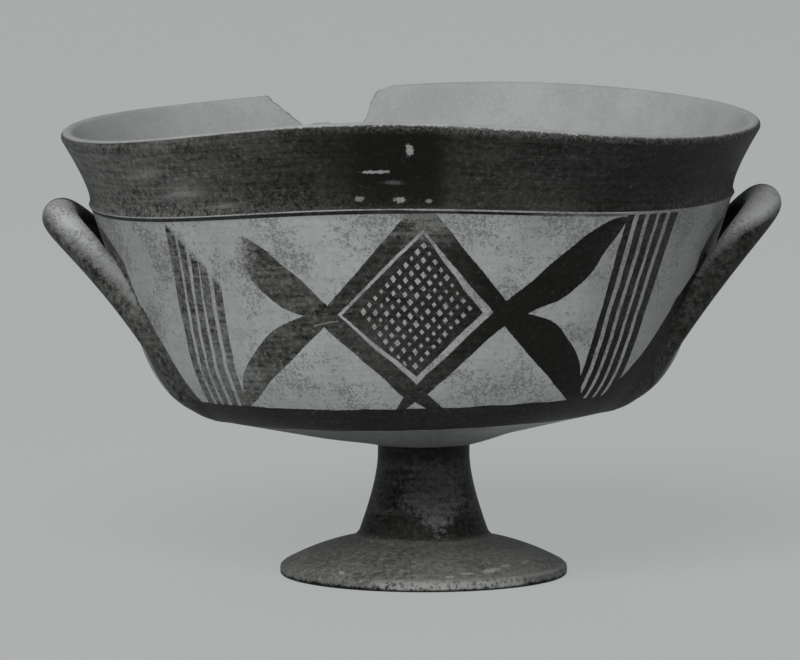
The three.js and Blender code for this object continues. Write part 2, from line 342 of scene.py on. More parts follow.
def handle_line(side):
    """The middle of a handle's clay in even steps. side is 1 for +X and -1 for -X."""
    root_radius = wall_radius(HANDLE_ROOT_HEIGHT) - HANDLE_ROOT_SINK
    root_x = math.sqrt(root_radius ** 2 - HANDLE_HALF_SPREAD ** 2)
    tip = (SHOULDER[0] + HANDLE_GAP + HANDLE_TIP_RADIUS, SHOULDER[1] - HANDLE_TIP_DROP)
    turn = np.linspace(0, math.pi, 4 * HANDLE_RINGS + 1)
    out = np.sin(turn)
    across = -np.sign(np.cos(turn)) * np.abs(np.cos(turn)) ** HANDLE_SQUARENESS
    up = out + HANDLE_BOW * out * (1 - out)
    line = np.stack(
        [
            side * between(root_x, tip[0], out),
            HANDLE_HALF_SPREAD * across,
            between(HANDLE_ROOT_HEIGHT, tip[1], up),
        ],
        axis=1,
    )
    # The left handle was pressed closer to the wall along its legs.
    if side < 0:
        line[:, 0] += HANDLE_PRESSED * 4 * out * (1 - out)
    inwards = 1 - HANDLE_TAIL_SINK / root_x
    tails = [spot * (inwards, inwards, 1) - (0, 0, HANDLE_TAIL_DROP) for spot in (line[0], line[-1])]
    line = np.vstack([tails[0], line, tails[1]])
    walked = walk(line)
    return spots_on(line, np.linspace(0, walked[-1], HANDLE_RINGS), walked)


def handle_radius(along):
    """Half the thickness of the clay, for shares of the way from one end to the other."""
    from_end = np.minimum(along, 1 - along)
    thickness = between(HANDLE_LEG_RADIUS, HANDLE_TIP_RADIUS, 2 * from_end)
    return thickness * np.sqrt(1 - (1 - np.minimum(1, from_end / HANDLE_TAPER)) ** 2)


handle_lines = {side: handle_line(side) for side in (-1, 1)}
print("handle line:", HANDLE_RINGS, "rings, tip at", handle_lines[1][HANDLE_RINGS // 2].round(1))


# %% Distances that the handles and the paint need
FAR_AWAY = 1e9
HANDLES_FROM = 30


def nearest_on(line, spots):
    """For each spot, how far the line is, and where along it, counted in its points."""
    best = np.full(len(spots), FAR_AWAY)
    where = np.zeros(len(spots))
    for i, (start, end) in enumerate(zip(line, line[1:])):
        run = end - start
        share = np.clip((spots - start) @ run / (run @ run), 0, 1)
        away = np.linalg.norm(spots - start - share[:, None] * run, axis=1)
        nearer = away < best
        best[nearer] = away[nearer]
        where[nearer] = i + share[nearer]
    return best, where


def in_section(spots):
    """Each spot's radius and height."""
    return np.stack([np.hypot(spots[:, 0], spots[:, 1]), spots[:, 2]], axis=1)


def off_wall(spots):
    """How far outside the bowl's wall each spot lies, square to the wall."""
    flat = in_section(spots)
    away, _ = nearest_on(outer_line, flat)
    return np.where(flat[:, 0] > wall_radius(flat[:, 1]), away, -away)


def off_handle(spots):
    """How far outside the handles' clay each spot lies, and where along the handle it is."""
    best = np.full(len(spots), FAR_AWAY)
    along = np.zeros(len(spots))
    for side, line in handle_lines.items():
        near = np.flatnonzero(spots[:, 0] * side > HANDLES_FROM)
        away, where = nearest_on(line, spots[near])
        share = where / (HANDLE_RINGS - 1)
        best[near] = away - handle_radius(share)
        along[near] = share
    return best, along


# %% Roll the handles
HANDLE_SIDES = 28
SMEAR_REACH = 6.0
SMEAR_WIDTH = 2.2
SMEAR_TOP = 92
SMEAR_FADE = 14
SMEAR_LEAN = (0.8, 1.6)
SWELL_REACH = 7.0
SWELL_HEIGHT = 1.2
WALL_FROM = 46


def low_share(spots):
    """1 low on the wall, where the clay was smeared, fading to 0 where the leg only touches it."""
    return np.clip((SMEAR_TOP - spots[:, 2]) / SMEAR_FADE, 0, 1)


def rolled_handle(side):
    """A closed coil of clay along the handle's line, smeared out where it nears the wall."""
    bpy.ops.object.select_all(action="DESELECT")
    bpy.ops.curve.primitive_bezier_curve_add()
    piece = bpy.context.object
    piece.name = "handle"
    piece.data.splines.clear()
    spline = piece.data.splines.new("POLY")
    spline.points.add(HANDLE_RINGS - 1)
    line = handle_lines[side]
    radii = handle_radius(np.linspace(0, 1, HANDLE_RINGS))
    for point, spot, radius in zip(spline.points, line, radii):
        point.co = (*(spot * MM), 1)
        point.radius = max(radius, 0.05)
    piece.data.bevel_depth = MM
    piece.data.bevel_resolution = HANDLE_SIDES // 2 - 2
    piece.data.use_fill_caps = True
    bpy.ops.object.convert(target="MESH")
    piece = bpy.context.object
    bpy.ops.object.mode_set(mode="EDIT")
    close_up()
    spots = spots_of(piece)
    away, where = nearest_on(line, spots)
    middle = spots_on(line, where, range(HANDLE_RINGS))
    nearness = np.clip(1 - np.abs(off_wall(spots)) / SMEAR_REACH, 0, 1) ** 2
    outwards = (spots - middle) / np.maximum(away, 1e-3)[:, None]
    from_axis = spots[:, :2] / np.hypot(spots[:, 0], spots[:, 1])[:, None]
    # The clay goes up and towards the wall, and not off the wall.
    off_axis = (outwards[:, :2] * from_axis).sum(axis=1)
    smeared = np.clip(SMEAR_LEAN[0] - SMEAR_LEAN[1] * off_axis + outwards[:, 2], 0, 1)
    smear = SMEAR_WIDTH * nearness * smeared * low_share(spots)
    move_spots(piece, spots + smear[:, None] * outwards)
    return piece


def combined(piece, other, operation):
    """Joins another closed body to the piece, or cuts it away."""
    alone(piece)
    bpy.ops.object.modifier_add(type="BOOLEAN")
    change = piece.modifiers[-1]
    change.operation = operation
    change.solver = "EXACT"
    change.object = other
    bpy.ops.object.modifier_apply(modifier=change.name)
    return piece


# %% Put the handles on
spots = spots_of(cup)
normals = np.empty(3 * len(cup.data.vertices))
cup.data.vertices.foreach_get("normal", normals)
away, _ = off_handle(spots)
is_outer_wall = (np.abs(off_wall(spots)) < 0.1) & (spots[:, 2] > WALL_FROM) & (spots[:, 2] < SHOULDER[1])
nearness = np.clip(1 - np.maximum(away, 0) / SWELL_REACH, 0, 1) ** 2
swell = SWELL_HEIGHT * nearness * low_share(spots) * is_outer_wall
move_spots(cup, spots + swell[:, None] * normals.reshape(-1, 3))

for side in (-1, 1):
    coil = combined(rolled_handle(side), core, "DIFFERENCE")
    combined(cup, coil, "UNION")
    bpy.data.objects.remove(coil)
bpy.data.objects.remove(core)
print("with handles:", len(cup.data.vertices), "points")

# %% [markdown]
# The seam of such a join is a sharp crease. On the real cup a wet finger has run along it, so the
# points near it are smoothed together a few times.

# %% Smooth the seams of the handles
SEAM_WIDTH = 2.0
SEAM_SMOOTHING = 8


def select_spots(piece, chosen):
    """Selects the chosen vertices and nothing else, and opens edit mode."""
    alone(piece)
    bpy.ops.object.mode_set(mode="EDIT")
    bpy.ops.mesh.select_mode(type="VERT")
    bpy.ops.mesh.select_all(action="DESELECT")
    bpy.ops.object.mode_set(mode="OBJECT")
    piece.data.vertices.foreach_set("select", chosen)
    bpy.ops.object.mode_set(mode="EDIT")


spots = spots_of(cup)
wall_away = off_wall(spots)
handle_away, _ = off_handle(spots)
near_seam = (np.abs(wall_away) < SEAM_WIDTH) & (wall_away > -1) & (np.abs(handle_away) < SEAM_WIDTH + 1)
near_seam &= (spots[:, 2] > WALL_FROM) & (spots[:, 2] < SHOULDER[1] - SEAM_WIDTH)
select_spots(cup, near_seam)
bpy.ops.mesh.vertices_smooth(factor=0.5, repeat=SEAM_SMOOTHING)
bpy.ops.object.mode_set(mode="OBJECT")
print("seam points smoothed:", int(near_seam.sum()))

# %% [markdown]
# ## The lost piece of the lip
# The outline of the lost piece is drawn as a face and pushed back through the far rim in short steps.
# Its points are shaken a little, because fired clay breaks with a grainy surface. Cutting this block
# away leaves the broken edge, which has a finish of its own.

# %% Cut the broken edge
BREAK_OUTLINE = [
    (-50.4, -1.6), (-48.6, -0.2), (-47.4, 1.4), (-45, 3), (-43.5, 4.5), (-40.6, 6.9), (-38.2, 9),
    (-36.4, 10.2), (-33.4, 9.4), (-29, 9.3), (-26.3, 10.8), (-20.5, 11.8), (-17.4, 10.8), (-15.1, 9.2),
    (-14.3, 6.4), (-13.1, 3), (-11.2, 0.6), (-5.3, -1.1),
]
BREAK_HEADROOM = 10
BREAK_NEAR = 80
BREAK_FAR = 130
BREAK_STEPS = 40
BREAK_SPACING = 1.3
BREAK_GRAIN = 0.45
BREAK_SEED = 11

corners = [(x, LIP_HEIGHT - down) for x, down in BREAK_OUTLINE]
outline = [corners[0]]
for start, end in zip(corners, corners[1:]):
    outline += straight(start, end, max(1, round(math.dist(start, end) / BREAK_SPACING)))
top = LIP_HEIGHT + BREAK_HEADROOM
outline = [(outline[0][0], top), *outline, (outline[-1][0], top)]
block = line_of_points("block", [(x, BREAK_NEAR, z) for x, z in outline])
bpy.ops.mesh.edge_face_add()
for step in range(BREAK_STEPS):
    bpy.ops.mesh.extrude_region_move(
        TRANSFORM_OT_translate={"value": (0, (BREAK_FAR - BREAK_NEAR) / BREAK_STEPS * MM, 0)}
    )
bpy.ops.mesh.select_all(action="SELECT")
bpy.ops.mesh.normals_make_consistent(inside=False)
bpy.ops.transform.vertex_random(offset=BREAK_GRAIN * MM, seed=BREAK_SEED)
bpy.ops.object.mode_set(mode="OBJECT")
clay_finish = bpy.data.materials.new("painted clay")
broken_finish = bpy.data.materials.new("broken clay")
for piece in (cup, block):
    piece.data.materials.clear()
    piece.data.materials.append(clay_finish)
    piece.data.materials.append(broken_finish)
block.data.polygons.foreach_set("material_index", [1] * len(block.data.polygons))
combined(cup, block, "DIFFERENCE")
bpy.data.objects.remove(block)
broken_faces = sum(face.material_index == 1 for face in cup.data.polygons)
print("broken faces:", broken_faces, "of", len(cup.data.polygons))

# %% [markdown]
# ## What the paint needs to know
# The paint was put on the true cup, so an attribute keeps each point's place there, in millimetres.
# Another says how far down the section a point is from the crest of the lip, outwards or inwards,
# because brush marks run across that way. Two more say how far it is off the wall and off the
# handles, and the last one how much a point of a handle faces up to the bowl.

# %% Store the attributes
spots = spots_of(cup)
section_line = np.array(section)
_, where = nearest_on(section_line, in_section(spots))
walked = walk(section_line)
crest_index = len(outside) + LIP_ROUND_STEPS // 2 - 1
down_outside = walked[crest_index] - np.interp(where, range(len(walked)), walked)

UP_TO_BOWL = (0.8, 0.6)
handle_away, handle_along = off_handle(spots)
facing = np.zeros(len(spots))
for side, line in handle_lines.items():
    near = np.flatnonzero((spots[:, 0] * side > HANDLES_FROM) & (handle_away < HANDLE_TIP_RADIUS))
    arm = spots[near] - spots_on(line, handle_along[near] * (HANDLE_RINGS - 1), range(HANDLE_RINGS))
    arm /= np.linalg.norm(arm, axis=1)[:, None]
    facing[near] = arm @ np.array([-side * UP_TO_BOWL[0], 0, UP_TO_BOWL[1]])


def store(piece, name, kind, values):
    """Keeps one number or one vector for each vertex under a name."""
    attribute = piece.data.attributes.new(name, kind, "POINT")
    attribute.data.foreach_set("vector" if kind == "FLOAT_VECTOR" else "value", np.ravel(values))


store(cup, "thrown", "FLOAT_VECTOR", spots)
store(cup, "down_outside", "FLOAT", down_outside)
store(cup, "off_wall", "FLOAT", off_wall(spots))
store(cup, "off_handle", "FLOAT", np.minimum(handle_away, 99))
store(cup, "facing_bowl", "FLOAT", facing)
print("section from crest:", round(down_outside.min()), "to", round(down_outside.max()), "mm")

# %% [markdown]
# ## Wear and warp
# Small flakes are gone from the edge of the foot. Then the whole cup gets the warp of the kiln: above
# the start of the slump the wall rises and sinks in long waves, and from the stem upwards the bowl
# leans and stands off the middle of the foot.

# %% Chip the foot and warp the cup
FOOT_CHIPS = [
    (-66, 1.4, 0.5), (-49, 0.9, 0.5), (-28, 1.3, 0.6), (-12, 0.8, 0.5), (6, 1.1, 0.6), (15, 0.7, 0.5),
    (22, 1.7, 0.8), (31, 0.9, 0.6), (38, 1.4, 0.8), (47, 0.8, 0.5), (56, 1, 0.5), (140, 1.2, 0.6),
    (-150, 1.5, 0.5),
]
CHIP_HEIGHT = 2.2
CHIP_REACH = 2.6
CHIP_CORE = 1.6
CHIP_SPREAD = 1.3
SLUMP_START = 60
SLUMP_SADDLE = 3.5
SLUMP_THREEFOLD = 1.3
SLUMP_FOURFOLD = 0.75
SLUMP_TURN = math.radians(-8.9)
TILT_LOW, TILT_HIGH = 0.0277, 0.018
SHIFT_LOW, SHIFT_HIGH = 2.9, 4.36
TILT_BLEND = 5
MIDDLE_X = 3.99


def chipped(spots):
    """The spots with flakes gone from the rim of the foot, each an angle, a width and a depth."""
    made = spots.copy()
    radius = np.hypot(spots[:, 0], spots[:, 1])
    angle = np.degrees(np.arctan2(spots[:, 1], spots[:, 0]))
    on_rim = np.clip(1 - np.hypot(radius - FOOT_RADIUS, spots[:, 2] - CHIP_HEIGHT) / CHIP_REACH, 0, 1)
    for place, width, depth in FOOT_CHIPS:
        turn = np.abs((angle + 90 - place + 180) % 360 - 180)
        share = np.clip(CHIP_CORE - turn / width / CHIP_SPREAD, 0, 1) * on_rim * depth
        made[:, :2] -= spots[:, :2] / np.maximum(radius, 1)[:, None] * share[:, None]
    return made


def warped(spots):
    """Where each spot of the true cup came to lie."""
    x, y, z = spots.T
    height = np.clip((z - SLUMP_START) / (LIP_HEIGHT - SLUMP_START), 0, None)
    angle = np.arctan2(y, x)
    rise = -SLUMP_SADDLE * height ** 2 * np.cos(2 * (angle - SLUMP_TURN))
    rise += SLUMP_THREEFOLD * height * np.sin(3 * angle)
    rise += SLUMP_FOURFOLD * height * np.cos(4 * (angle - SLUMP_TURN))
    t = np.clip((z - STEM_TOP_HEIGHT) / TILT_BLEND, 0, 1)
    share = t * t * (3 - 2 * t)
    up = np.clip((z - STEM_TOP_HEIGHT) / (LIP_HEIGHT - STEM_TOP_HEIGHT), 0, 1)
    lean = share * between(TILT_LOW, TILT_HIGH, up)
    shift = share * between(SHIFT_LOW, SHIFT_HIGH, up)
    return np.stack([x - shift + MIDDLE_X, y, z + rise + x * lean], axis=1)


move_spots(cup, warped(chipped(spots)))
alone(cup)
bpy.ops.object.shade_smooth_by_angle(angle=math.radians(40))
cup.name = cup.data.name = "kylix_cup"
print("warped cup in mm:", [round(side / MM, 1) for side in cup.dimensions])

# %% [markdown]
# ## Shader maths as plain expressions
# A material here is mostly arithmetic: how far is this point from the edge of a painted shape? The
# class wraps the output of a node, so that signs such as + and * add Math nodes. Shapes are distances
# in millimetres, positive inside. The smaller of two is their common part, the greater one is both
# together, and a ramp across zero turns a distance into paint.

# %% A number inside a material
class Value:
    """One output of a node. Ordinary maths on it adds Math nodes."""

    def __init__(self, finish, output):
        self.finish = finish
        self.output = output

    def __add__(self, other):
        return self.finish.maths("ADD", self, other)

    def __sub__(self, other):
        return self.finish.maths("SUBTRACT", self, other)

    def __rsub__(self, other):
        return self.finish.maths("SUBTRACT", other, self)

    def __mul__(self, other):
        return self.finish.maths("MULTIPLY", self, other)

    __radd__ = __add__
    __rmul__ = __mul__


class Finish:
    """A material that is filled with nodes from code."""

    def __init__(self, material):
        self.material = material
        material.use_nodes = True
        self.tree = material.node_tree
        self.tree.nodes.clear()

    def node(self, kind, settings=None, sockets=None, output=0):
        """Adds a node: its settings first, then the values or links of its sockets."""
        made = self.tree.nodes.new(kind)
        for name, setting in (settings or {}).items():
            if name == "points":
                self.bend_curve(made, setting)
            else:
                setattr(made, name, setting)
        for name, value in (sockets or {}).items():
            if isinstance(value, Value):
                self.tree.links.new(value.output, made.inputs[name])
            else:
                made.inputs[name].default_value = value
        return Value(self, made.outputs[output]) if made.outputs else made

    def bend_curve(self, made, points):
        """Gives a curve node its points, each from 0 to 1."""
        curve = made.mapping.curves[0]
        while len(curve.points) < len(points):
            curve.points.new(0.5, 0.5)
        for point, spot in zip(curve.points, points):
            point.location = spot
            point.handle_type = "AUTO_CLAMPED"
        made.mapping.update()

    def maths(self, operation, *values, clamp=False):
        sockets = dict(enumerate(values))
        return self.node("ShaderNodeMath", {"operation": operation, "use_clamp": clamp}, sockets)

    def vector(self, operation, *values):
        sockets = dict(enumerate(values))
        output = "Value" if operation == "LENGTH" else "Vector"
        return self.node("ShaderNodeVectorMath", {"operation": operation}, sockets, output)

    def ramp(self, value, start, end):
        """0 up to start, 1 from end on, straight in between."""
        scale = 1 / (end - start)
        return self.maths("MULTIPLY_ADD", value, scale, -start * scale, clamp=True)

    def within(self, distance, softness=0.12):
        """1 where a distance is positive and 0 where it is negative, with a slightly soft edge."""
        return self.ramp(distance, -softness, softness)

    def least(self, first, *others):
        for other in others:
            first = self.maths("MINIMUM", first, other)
        return first

    def most(self, first, *others):
        for other in others:
            first = self.maths("MAXIMUM", first, other)
        return first

    def size(self, value):
        return self.maths("ABSOLUTE", value)

    def attribute(self, name, output="Vector"):
        return self.node("ShaderNodeAttribute", {"attribute_name": name}, output=output)

    def place(self, x, y, z=0.0):
        """A vector from three numbers."""
        return self.node("ShaderNodeCombineXYZ", sockets={"X": x, "Y": y, "Z": z})

    def split(self, vector):
        made = self.node("ShaderNodeSeparateXYZ", sockets={"Vector": vector}).output.node
        return [Value(self, output) for output in made.outputs]

    def noise(self, vector, scale, detail=2, roughness=0.5, output="Fac"):
        sockets = {"Vector": vector, "Scale": scale, "Detail": detail, "Roughness": roughness}
        return self.node("ShaderNodeTexNoise", sockets=sockets, output=output)

    def curve(self, value, points):
        """A smooth curve through points in the value's own units."""
        low = np.array(points).min(axis=0)
        span = np.array(points).max(axis=0) - low
        share = self.maths("MULTIPLY_ADD", value, 1 / span[0], -low[0] / span[0], clamp=True)
        unit = (np.array(points) - low) / span
        made = self.node("ShaderNodeFloatCurve", {"points": unit}, {"Value": share})
        return self.maths("MULTIPLY_ADD", made, span[1], low[1])

    def mix(self, factor, first, second):
        """The first colour, and the second one as far as the factor goes."""
        colours = {"Factor": factor, 6: with_alpha(first), 7: with_alpha(second)}
        return self.node("ShaderNodeMix", {"data_type": "RGBA"}, colours, output=2)

    def finish_with(self, sockets, height=None, strength=1.0):
        """Ends the material in one shader, with relief where there is a height in millimetres."""
        if height is not None:
            relief = {"Strength": strength, "Distance": MM, "Height": height}
            sockets = {**sockets, "Normal": self.node("ShaderNodeBump", sockets=relief)}
        shader = self.node("ShaderNodeBsdfPrincipled", sockets=sockets)
        self.node("ShaderNodeOutputMaterial", sockets={"Surface": shader})


def with_alpha(colour):
    """A colour of three numbers with its alpha added, or the output of a node as it is."""
    return colour if isinstance(colour, Value) else (*colour, 1)


# %% [markdown]
# ## The painted ornament
# On the front of the wall stand a lozenge with a pale line and rows of pale dots inside it, two
# leaves on each side, five stripes beside each handle and a band below. Seen from the front their
# edges are nearly straight, so they are drawn in the x and z of the true cup. Soft noise shakes the
# place first, which gives each edge the waver of a hand.

# %% Where a point is, with the waver of the hand
clay = Finish(clay_finish)
ramp, within, curve, mix = clay.ramp, clay.within, clay.curve, clay.mix
least, most, size = clay.least, clay.most, clay.size
noise, place = clay.noise, clay.place
thrown = clay.attribute("thrown")
down = clay.attribute("down_outside", "Fac")
away_from_wall = clay.attribute("off_wall", "Fac")
from_handle = clay.attribute("off_handle", "Fac")
handle_facing = clay.attribute("facing_bowl", "Fac")

# Each waver is the scale of its noise, the noise's detail and a reach in millimetres.
WAVERS = [(0.09, 1, 1.2), (1.1, 2, 0.5)]
shaken = thrown
for scale, detail, reach in WAVERS:
    shake = clay.vector("SUBTRACT", noise(thrown, scale, detail, output="Color"), (0.5,) * 3)
    shaken = clay.vector("MULTIPLY_ADD", shake, (reach,) * 3, shaken)
x, y, z = clay.split(shaken)
true_x, true_y, true_z = clay.split(thrown)
to_side = size(x)
front = ramp(y, 3, -3)
left = ramp(x, 3, -3)
azimuth = clay.maths("ARCTAN2", to_side, size(y)) * math.degrees(1)


# %% Straight-edged shapes
def shape(corners, across, up):
    """Distance inside a shape with straight edges, whose corners run anticlockwise."""
    edges = []
    for (x0, z0), (x1, z1) in zip(corners, corners[1:] + corners[:1]):
        length = math.dist((x0, z0), (x1, z1))
        side, rise = -(z1 - z0) / length, (x1 - x0) / length
        offset = -(side * x0 + rise * z0)
        risen = clay.maths("MULTIPLY_ADD", up, rise, offset)
        edges.append(clay.maths("MULTIPLY_ADD", across, side, risen))
    return least(*edges)


LOZENGE = [(-31.2, 93.3), (-0.2, 65.3), (33.1, 94.1), (3.3, 130.9)]
PALE_LINE_OUTSIDE = [(-24.2, 94.6), (0.8, 72.3), (25.2, 94.9), (3.3, 120.8)]
PALE_LINE_INSIDE = [(-22.9, 94.5), (0.8, 74.6), (21.8, 94.7), (3.4, 119.5)]
LOZENGE_FOOT = [(-6.4, 63.5), (9.4, 63.5), (0.9, 72), (-0.7, 72)]
FOOT_GAP = [(-2.6, 64.1), (3.5, 64), (0.1, 66.3)]

lozenge = most(shape(LOZENGE, x, z), shape(LOZENGE_FOOT, x, z))
pale_line = least(shape(PALE_LINE_OUTSIDE, x, z), 0 - shape(PALE_LINE_INSIDE, x, z))
foot_gap = shape(FOOT_GAP, x, z)
lozenge = least(lozenge, 0 - pale_line, 0 - foot_gap)

# %% [markdown]
# The dots stand in rows along the sides of the lozenge. A slanting grid counts dots along the two
# sides: the part after the point says where in its cell a spot is, and the whole part gives every
# dot a size of its own through a White Noise texture.

# %% Rows of pale dots
FIRST_DOT = np.array([3.4, 115.7])
LAST_IN_ROW = np.array([-14.8, 98.0])
LAST_ROW = np.array([17.0, 96.3])
LAST_DOT = np.array([0.3, 78.2])
GRID_SHIFT = (0.1, -0.1)
DOTS_IN_ROW = 10
DOT_ROWS = 9
DOT_HALF_SIZE = 0.215
DOT_SIZE_SPREAD = 0.055

row_step = ((LAST_IN_ROW - FIRST_DOT) + (LAST_DOT - LAST_ROW)) / 2 / (DOTS_IN_ROW - 1)
column_step = ((LAST_ROW - FIRST_DOT) + (LAST_DOT - LAST_IN_ROW)) / 2 / (DOT_ROWS - 1)
grid = np.linalg.inv(np.stack([row_step, column_step], axis=1))
in_row, in_column = (
    clay.maths("MULTIPLY_ADD", x, across, clay.maths("MULTIPLY_ADD", z, up, -start))
    for (across, up), start in zip(grid, grid @ (FIRST_DOT + GRID_SHIFT) - 0.5)
)
row_cell = clay.maths("FLOOR", in_row)
column_cell = clay.maths("FLOOR", in_column)
cell = place(row_cell, column_cell)
chance = clay.node("ShaderNodeTexWhiteNoise", {"noise_dimensions": "2D"}, {"Vector": cell})
half_size = chance * (2 * DOT_SIZE_SPREAD) + (DOT_HALF_SIZE - DOT_SIZE_SPREAD)
reach = most(size(in_row - row_cell - 0.5), size(in_column - column_cell - 0.5))
in_grid = least(in_row, in_column, DOTS_IN_ROW + 0.9 - in_row, DOT_ROWS - in_column)
first_row_end = in_row * -0.5 + 5.2 + in_column * 3
dots = least(half_size - reach, in_grid * 0.2, first_row_end)
print(DOT_ROWS, "rows of", DOTS_IN_ROW, "dots,", round(float(np.linalg.norm(row_step)), 1), "mm apart")

# %% [markdown]
# A leaf lies between two curved brush edges. Each edge is a Float Curve node. For the upper leaves it
# gives the height at each x, and for the lower ones, which are steep, the x at each height. The left
# and right leaves aren't mirror images, so each has its own points.

# %% Leaves
UPPER_LEAF_RIGHT = (
    [(26, 95.5), (29.4, 98.3), (36.4, 103.7), (49.3, 114.6), (57, 120.7), (64.8, 124.9), (69.3, 125.6),
     (74, 126)],
    [(26, 88.3), (28.7, 90.3), (36.4, 94), (41.5, 96.4), (46.7, 98.2), (51.8, 102), (57.1, 107.1),
     (60.9, 113.3), (65.7, 119.9), (69.3, 125.5), (74, 131)],
)
UPPER_LEAF_LEFT = (
    [(26, 95.8), (27.4, 97.6), (32.9, 103.2), (42, 111.2), (52.8, 119.7), (60, 124), (74, 126)],
    [(26, 89.2), (28.1, 90.6), (35.1, 94.5), (39.4, 96.1), (45.7, 100), (53.1, 108.1), (60, 116), (74, 131)],
)
LOWER_LEAF_RIGHT = (
    [(62, 53.6), (72, 53.3), (75.9, 53.1), (80.5, 51.9), (85.4, 49.3), (90, 45.8), (92.5, 41.5), (94.4, 35)],
    [(62, 50.2), (67.8, 46.3), (73.1, 42.3), (80.8, 36.3), (90.3, 28.7), (94.4, 25.3)],
)
LOWER_LEAF_LEFT = (
    [(62, 54.8), (72.6, 55.1), (77.8, 53.9), (83.2, 50.4), (88.8, 46.1), (92.3, 40.6), (94.6, 34.5)],
    [(62, 54.3), (64.6, 52.3), (74, 45.1), (83, 36.6), (90.6, 28.4), (94.6, 24)],
)
UPPER_LEAF_SPAN = (27, 72)
LOWER_LEAF_SPAN = (0, 94.4)
# The edges slant at about this share, which turns a measure across them into a distance.
EDGE_SLANT = 0.8


def leaf(edges, along, over, span):
    """Distance inside a leaf, for the measure along its edges and the one from edge to edge."""
    high, low = (curve(along, points) for points in edges)
    ends = [along - span[0], span[1] - along]
    return least((high - over) * EDGE_SLANT, (over - low) * EDGE_SLANT, *ends)


mirrored_x = 0 - x
leaves = most(
    leaf(UPPER_LEAF_RIGHT, x, z, UPPER_LEAF_SPAN),
    leaf(LOWER_LEAF_RIGHT, z, x, LOWER_LEAF_SPAN),
    leaf(UPPER_LEAF_LEFT, mirrored_x, z, UPPER_LEAF_SPAN),
    leaf(LOWER_LEAF_LEFT, z, mirrored_x, LOWER_LEAF_SPAN),
)
print("nodes so far:", len(clay.tree.nodes))

# %% [markdown]
# The stripes run down the wall beside the handles, so they follow the angle round the cup and not x.
# All five on a side bend alike, which one curve over the height gives. The back has the same stripes,
# and the rest of its wall is plain.

# %% Stripes
RIGHT_BEND = [(62, 3.6), (69, 2.9), (80.5, 1.95), (93.5, 1.15), (118.5, 0), (127, -0.4)]
RIGHT_STRIPES = [(41, 0.85, 1), (43.8, 0.85, 1), (46.6, 0.95, 1), (49.3, 0.9, 1), (52.4, 1.15, 1)]
LEFT_BEND = [(62, -2.9), (67, -1.7), (72, -1.3), (80, -1.1), (93, 0), (111, 1.85), (127, 3.2)]
LEFT_STRIPES = [(50.6, 1.1, 1), (47.95, 0.8, 0.9), (45.5, 0.9, 0.9), (42.95, 1, 0.65), (40.1, 0.95, 0.6)]
# Millimetres on the wall for each degree round the cup.
DEGREE = 1.7


def stripes(table, swing, angle):
    """Distance inside the nearest stripe. A stripe is an angle, a half width and a share of the swing."""
    nearest = []
    for middle, half_width, share in table:
        bent = clay.maths("MULTIPLY_ADD", swing, share, angle)
        nearest.append(half_width - size(bent - middle))
    return most(*nearest) * DEGREE


right_stripes = stripes(RIGHT_STRIPES, curve(z, RIGHT_BEND), azimuth)
left_stripes = stripes(LEFT_STRIPES, curve(z, LEFT_BEND), azimuth)

# %% [markdown]
# Round the roots of the handles the paint is drawn broadly down on to the wall and into the band,
# which goes round the cup at the turn of the bowl. The lip above the ridge, the stem and the foot
# are dark.

# %% Band, lip, foot and roots
BAND_LOW, BAND_TOP = 55.5, 64.0
RIDGE_HEIGHT = SHOULDER[1] + RIDGE_RISE
ROOT_EDGE_RIGHT = [
    (60, 45.5), (66, 48.3), (70, 51.4), (76, 54.9), (82, 58.3), (89, 61.5), (97, 64.4), (110, 69),
]
ROOT_EDGE_LEFT = [(60, 55.5), (65, 57.2), (70, 58.3), (78, 60.7), (86, 63.5), (95, 67), (110, 74)]
ROOT_OUTER_EDGE = 64
ROOT_REACH = [(60, 12), (80, 10), (92, 7.5), (98, 4.5), (104, 1.5), (110, -1)]
STEM_PAINT_TOP = 44.2

band = least(z - BAND_LOW, BAND_TOP - z)
left_front = front * left
root_edge = curve(z, ROOT_EDGE_RIGHT) * (1 - left_front) + curve(z, ROOT_EDGE_LEFT) * left_front
root_reach = most(curve(z, ROOT_REACH) - from_handle, (ROOT_OUTER_EDGE - azimuth) * DEGREE)
roots = least((azimuth - root_edge) * DEGREE, root_reach, z - BAND_LOW)

# %% [markdown]
# ## Wear
# Paint that has been handled and buried for long is thin in patches. Four noises serve again and
# again: streaks run round the cup like the marks of a turning brush, patches are as broad as a
# thumb, and the two fine ones give mottling and single grains. The handles have no streaks and the
# foot has few.

# %% Noises for the wear
STREAK_ALONG, STREAK_ACROSS = 0.05, 0.8
FOOT_STREAKS = 0.4

streak_place = place(true_x * STREAK_ALONG, true_y * STREAK_ALONG, down * STREAK_ACROSS)
patches = noise(thrown, 0.045, 4, 0.62)
fine = noise(thrown, 0.55, 4, 0.65)
rough = fine - 0.5
grain = noise(thrown, 1.5, 3, 0.7)
unstreaked = most(ramp(from_handle, 6, 2), ramp(true_z, 14, 12) * (1 - FOOT_STREAKS))
streaks = noise(streak_place, 1, 3, 0.6) * (1 - unstreaked) + fine * unstreaked
mottle = ramp(patches * 0.45 + streaks * 0.25 + fine * 0.3, 0.38, 0.62)
speckle = ramp(grain * 0.35 + fine * 0.4 + streaks * 0.25, 0.41, 0.6)

# %% [markdown]
# The lip is dark from the ridge almost to its crest, where the paint is rubbed off. A thin painted
# shadow runs under the ridge and fades towards the right handle, and painted shade darkens the wall
# close behind the handles.

# %% Paint of the lip and foot, painted shade at the ridge and beside the handles
SHADE_BESIDE_HANDLE = [(94, 0.8), (100, 1.5), (106, 3.5), (111, 5.5), (115, 5), (122, 2)]
CREST_PALE = 0.8
RIDGE_PALE_TOP = RIDGE_HEIGHT + 0.2
RIDGE_SHADOW_LINE = RIDGE_HEIGHT - 0.75
RIDGE_SHADOW_HALF = 0.45

